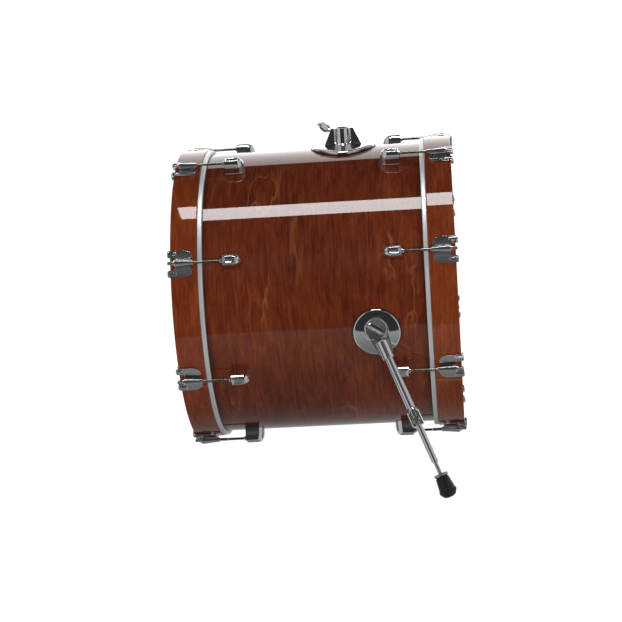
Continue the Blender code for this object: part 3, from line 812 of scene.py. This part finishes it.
def tensionRod():
    size = clawSize
    start = lugSize["centre"] + lugSize["half"] - 0.025 - hoopSize["face"]
    threadEnd = size["threadEnd"]
    mouth = -size["mouth"]
    shank = bar(size["shank"], threadEnd, mouth + 0.002, 20)
    screw = threaded(size["thread"], 0.0004, size["pitch"], start, threadEnd)
    washer = eased(bar(0.0060, mouth - 0.0006, mouth + 0.0010, 32), 0.0004)
    flange = eased(bar(0.0050, mouth + 0.0010, mouth + 0.0036, 32), 0.0006)
    key = size["key"]
    head = eased(block((mouth + 0.003, -key, -key), (size["lip"] - 0.001, key, key)), 0.0007, 3)
    dull = joined([shank, screw])
    for face in dull.faces:
        face.material_index = 1
    rod = joined([dull, washer, flange, head])
    return shifted(rod, 0, 0, size["line"])


def makeClaws():
    for name, end in (("resonant", 1), ("batter", -1)):
        for i in range(stations):
            bm = joined(clawCasting() + [tensionRod()])
            angle = firstStation + math.tau * i / stations
            place = station(angle, hoopSize["face"], hoopSize["outer"], end)
            addPiece(f"{name}Claw{i + 1}", bm, chrome, name + "_tension",
                     [f"{name}_claw_{i + 1}"], place, smoothUpTo, [rodSteel])


makeClaws()
print("claws and rods made")


# Spurs

# the leg is drawn along X from its pivot, with its outer side up
spurSize = {"axial": 0.1124, "below": math.radians(7.5), "plate": 0.0445, "gasket": 0.0012,
            "hub": 0.0225, "hubBack": 0.009, "hubFront": 0.004, "boss": 0.012, "bossStart": 0.0238,
            "bossEnd": 0.059, "tube": 0.008, "bore": 0.0066, "clampStart": 0.162,
            "clampEnd": 0.194, "clamp": 0.0115, "screw": 0.184, "knobTurn": math.radians(37),
            "pivot": 0.0053, "footBore": 0.0043, "crest": 0.0134, "knobGrip": 0.0205}


def dished(outline, steps, halfX, halfY, power):
    # closed (share, height) outline carried round an oval and bent to the shell
    bm = turned(outline, steps, closed=True)
    for vert in bm.verts:
        share = math.hypot(vert.co.x, vert.co.y)
        angle = math.atan2(vert.co.y, vert.co.x)
        across = math.copysign(abs(math.cos(angle)) ** (2 / power), math.cos(angle))
        along = math.copysign(abs(math.sin(angle)) ** (2 / power), math.sin(angle))
        vert.co.x = halfX * share * across
        vert.co.y = halfY * share * along
    return wrapped(bm, shellSize["radius"])


def legFrame(name):
    knob = jointByName[name + "_knob_turn"]
    outward = Vector(knob["axis"])
    down = Vector(jointByName[name + "_rod_extend"]["axis"])
    across = outward.cross(down)
    turn = Matrix((down, across, outward)).transposed()
    return Matrix.Translation(knob["pos_m"]) @ turn.to_4x4()


def bracketBody(pivot):
    size = spurSize
    low = skin + size["gasket"] + skin
    dome = [(1, low), (1, 0.0036), (0.985, 0.0047), (0.955, 0.0053), (0.93, 0.0051), (0.8, 0.0064),
            (0.62, 0.0080), (0.45, 0.0092), (0.42, low + 0.002), (0.6, low)]
    cover = dished(dome, 96, size["plate"], size["plate"], 2)
    top = -size["hubBack"] - skin
    root = -0.024
    neck = turned([(0.0235, root), (0.0213, top - 0.006), (0.0205, top - 0.0012), (0.0195, top),
                   (size["pivot"], top), (size["pivot"], root)], 64, closed=True)
    return joined([cover, moved(neck, pivot)])


def socketBody():
    size = spurSize
    back = -size["hubBack"]
    hub = turned([(size["pivot"], back), (size["hub"], back), (size["hub"], size["hubFront"]),
                  (size["pivot"], size["hubFront"])], 72, closed=True)
    eased(hub, 0.0009, 3, 60)
    webStart = 0.0205
    webEnd = 0.0135
    web = plate([(0, -webStart), (0.049, -webEnd), (0.049, webEnd), (0, webStart)],
                [0, 0.002, 0.002, 0], -0.0082, 0.0012)
    eased(web, 0.0008, 2, 60)
    wide = size["boss"]
    start = size["bossStart"]
    end = size["bossEnd"]
    boss = lengthwise(turned([(size["tube"] + skin, 0.0256), (wide - 0.0015, start), (wide, start + 0.0015),
                              (wide, end - 0.0008), (wide - 0.0008, end), (size["tube"] + 0.0008, end),
                              (size["tube"] + skin, end - 0.0008)], 48, closed=True))
    ring = turned([(0.0196, back + 0.0006), (0.0226, back + 0.0006), (0.0226, back + 0.0022),
                   (0.0196, back + 0.0022)], 72, closed=True)
    return joined([hub, web, boss, ring])


def knobBody():
    low = spurSize["hubFront"] + skin
    cap = turned([(0.0215, low), (0.022, low + 0.0008), (0.022, low + 0.0034), (0.0214, low + 0.0042),
                  (0.0204, low + 0.0044), (0.0194, low + 0.0038), (0.010, low + 0.0042),
                  (0.0012, low + 0.0046)], 72)
    grip = spurSize["knobGrip"]
    ridge = block((-grip, -0.0062, low + 0.003), (grip, 0.0062, spurSize["crest"]))
    for vert in ridge.verts:
        if vert.co.z > low + 0.004:
            vert.co.y *= 0.2
            vert.co.x *= 0.93
    edges = [edge for edge in ridge.edges if abs(edge.verts[0].co.x - edge.verts[1].co.x) > 0.03]
    bmesh.ops.subdivide_edges(ridge, edges=edges, cuts=10, use_grid_fill=True)
    for vert in ridge.verts:  # waisted flanks that meet the cap in a curve
        share = abs(vert.co.x) / grip
        if vert.co.z < low + 0.004:
            vert.co.y *= 0.45 + 0.55 * (1 - share ** 2) ** 0.5 if share < 1 else 0.45
    eased(ridge, 0.0004, 2, 50)
    bolt = post(0.005, -spurSize["hubBack"] - 0.012, low + 0.001)
    bm = joined([cap, ridge, bolt])
    return moved(bm, Matrix.Rotation(spurSize["knobTurn"], 4, "Z"))


def tubeBody():
    size = spurSize
    top = 0.0259
    outline = [(size["bore"], top), (size["tube"], top), (size["tube"], size["clampStart"] - 0.004),
               (0.0084, size["clampStart"] - 0.003), (0.0110, size["clampStart"] + 0.003),
               (size["clamp"], size["clampStart"] + 0.005), (size["clamp"], size["clampEnd"] - 0.001),
               (size["clamp"] - 0.001, size["clampEnd"]), (size["bore"], size["clampEnd"])]
    tube = lengthwise(turned(outline, 56, closed=True))
    boss = turned([(0.003, 0.0075), (0.0074, 0.0075), (0.0074, 0.0120), (0.0066, 0.013), (0.003, 0.013)],
                  40, closed=True)
    shifted(boss, size["screw"], 0, 0)
    wide = 0.0104
    square = size["clampStart"] + 0.008
    end = size["clampEnd"]
    shoulder = plate([(size["clampStart"] - 0.002, 0), (square, -wide), (end, -wide), (end, wide),
                      (square, wide)], [0.003, 0.004, 0.001, 0.001, 0.004], 0.0069, 0.0108)
    eased(shoulder, 0.0012, 3, 60)
    # the clamp's corners, filled clear of the rod
    cheeks = [block((square, low, 0.001), (end - 0.0006, low + 0.0036, 0.0094)) for low in (-wide, 0.0068)]
    return joined([tube, boss, shoulder] + cheeks)


def screwBody():
    head = turned([(0.0046, 0.0133), (0.0047, 0.0136), (0.0047, 0.0156), (0.0040, 0.0165), (0.0029, 0.0165),
                   (0.0026, 0.0149)], 32)
    drive = eased(block((-0.0015, -0.0015, 0.0145), (0.0015, 0.0015, 0.0166)), 0.0003)
    shank = post(0.0027, 0.0078, 0.0138)
    bm = joined([head, drive, shank])
    return shifted(bm, spurSize["screw"], 0, 0)


def footReach(name, place):
    back = place.inverted()
    mesh = frame["nodes"][name + "_spur_foot"].data
    return max((back @ vert.co).x for vert in mesh.vertices)


def rodBody(reach):
    neck = reach - 0.0715
    smooth = lengthwise(turned([(0.0055, 0.140), (0.00635, 0.141), (0.00635, neck), (0.004, neck + 0.005),
                                (0.0038, neck + 0.006)], 48))
    screw = threaded(0.004, 0.0005, 0.00125, neck + 0.0055, reach - 0.018, 32)
    spike = lengthwise(turned([(0.0036, reach - 0.0185), (0.0036, reach - 0.0175),
                               (0.0007, reach - 0.0062)], 32))
    return joined([smooth, screw, spike])


def nutBody(reach):
    low = reach - 0.0455
    high = low + 0.0055
    bore = spurSize["footBore"]
    body = lengthwise(turned([(bore, low), (0.013, low), (0.013, high), (bore, high)], 64, closed=True))
    return eased(body, 0.0007, 3, 60)


def footBody(reach):
    bore = spurSize["footBore"]
    outline = [(bore, reach - 0.0397), (bore, reach), (0.0055, reach), (0.0102, reach - 0.0018),
               (0.0118, reach - 0.0030), (0.0160, reach - 0.0094), (0.0166, reach - 0.0107),
               (0.0167, reach - 0.0134), (0.0164, reach - 0.0141), (0.0156, reach - 0.0148),
               (0.0151, reach - 0.017), (0.0127, reach - 0.0360), (0.0124, reach - 0.0378),
               (0.0114, reach - 0.0390), (0.0098, reach - 0.0397)]
    return lengthwise(turned(outline, 72, closed=True))


def makeSpur(name, side):
    size = spurSize
    angle = -size["below"] if side > 0 else math.pi + size["below"]
    base = station(angle, size["axial"], shellSize["radius"])
    leg = legFrame(name)
    gasketEdge = size["plate"] + 0.0016
    gasket = dished([(0.45, skin), (1, skin), (1, skin + size["gasket"]), (0.45, skin + size["gasket"])],
                    96, gasketEdge, gasketEdge, 2)
    addPiece(name + "SpurGasket", gasket, rubber, "drum", [name + "_spur_gasket"], base)
    bracket = bracketBody(base.inverted() @ leg)
    addPiece(name + "SpurBracket", bracket, chrome, "drum", [name + "_spur_bracket"], base)
    reach = footReach(name, leg)
    rows = [("SpurSocket", socketBody(), chrome, "_leg", "chrome", "_spur_socket"),
            ("SpurKnob", knobBody(), chrome, "_knob", "chrome", "_spur_knob"),
            ("SpurTube", tubeBody(), chrome, "_leg", "chrome", "_spur_tube"),
            ("SpurClampScrew", screwBody(), chrome, "_clamp_screw", "chrome", "_spur_clamp_screw"),
            ("SpurRod", rodBody(reach), chrome, "_rod", "chrome", "_spur_rod"),
            ("SpurLockNut", nutBody(reach), zinc, "_foot", "lock_nut_zinc", "_spur_lock_nut"),
            ("SpurFoot", footBody(reach), rubber, "_foot", "rubber", "_spur_foot")]
    for label, bm, finish, body, slotName, node in rows:
        addPiece(name + label, sidewise(bm, side), finish, name + body, [name + node], leg)


makeSpur("right", 1)
makeSpur("left", -1)
print("spurs made")


# Tom mount

mountSize = {"axial": 0.056, "halfLength": 0.0635, "halfWidth": 0.067, "power": 1.75, "rim": 0.0065,
             "post": 0.017, "bore": 0.0129, "top": 0.040}


def makeTomMount():
    size = mountSize
    base = station(math.pi / 2, size["axial"], shellSize["radius"])
    grow = 0.0011
    gasket = dished([(0.4, skin), (1, skin), (1, skin + 0.0012), (0.4, skin + 0.0012)], 128,
                    size["halfLength"] + grow, size["halfWidth"] + grow, size["power"])
    addPiece("tomMountGasket", gasket, rubber, "drum", ["tom_mount_gasket"], base)
    low = skin * 2 + 0.0012
    rimTop = 0.0015 + size["rim"]
    outline = [(0.22, low), (0.6, low), (1, low), (1, 0.0048), (0.99, 0.0064),
               (0.965, rimTop - 0.0003), (0.94, rimTop), (0.88, rimTop), (0.86, rimTop - 0.0004),
               (0.83, 0.0056), (0.8, 0.0051), (0.5, 0.0056), (0.3, 0.0068), (0.26, 0.009), (0.22, 0.012)]
    cover = dished(outline, 128, size["halfLength"], size["halfWidth"], size["power"])
    tower = turned([(size["bore"], low), (size["post"], low), (size["post"], size["top"] - 0.0008),
                    (size["post"] - 0.0008, size["top"]), (size["bore"] + 0.0008, size["top"]),
                    (size["bore"], size["top"] - 0.0008)], 72, closed=True)
    webs = []
    for end in (-1, 1):
        corners = [(0.0145, 0.003), (0.0378, 0.004), (0.0215, 0.0392), (0.0145, 0.0392)]
        web = plate(corners, [0, 0, 0.0012, 0], -0.0029, 0.0029)
        moved(web, Matrix.Rotation(math.pi / 2, 4, "X"))
        if end < 0:
            moved(web, Matrix.Rotation(math.pi, 4, "Z"))
        webs.append(eased(web, 0.0005, 2, 60))
    bolt = jointByName["tom_wing_bolt_turn"]
    out = Vector(bolt["axis"])
    side = upWay.cross(out).normalized()
    wing = Matrix.Translation(bolt["pos_m"]) @ Matrix((out, side, out.cross(side))).transposed().to_4x4()
    boss = eased(bar(0.0065, 0.0145, 0.024, 32), 0.0006)
    moved(boss, base.inverted() @ wing)
    bm = joined([cover, tower, boss] + webs)
    addPiece("tomMountBase", bm, chrome, "drum", ["tom_mount_base"], base, smoothUpTo)
    shank = threaded(0.003, 0.0004, 0.001, 0.0165, 0.0345, 20)
    blade = turned([(0.0022, -0.0125), (0.0052, -0.0112), (0.0075, -0.0075), (0.0088, -0.003),
                    (0.0088, 0.003), (0.0075, 0.0075), (0.0052, 0.0112), (0.0022, 0.0125)], 40)
    lengthwise(blade)
    moved(blade, Matrix.Diagonal((1, 0.26, 1, 1)))
    shifted(blade, 0.0445, 0, 0)
    neck = bar(0.0036, 0.031, 0.035, 24)
    ball = bmesh.new()
    bmesh.ops.create_uvsphere(ball, u_segments=24, v_segments=14, radius=0.0034)
    shifted(ball, 0.0585, 0, 0)
    addPiece("tomMountWingBolt", joined([shank, blade, neck, ball]), chrome, "tom_wing_bolt",
             ["tom_mount_wing_bolt"], wing, smoothUpTo)


makeTomMount()
print("tom mount made")
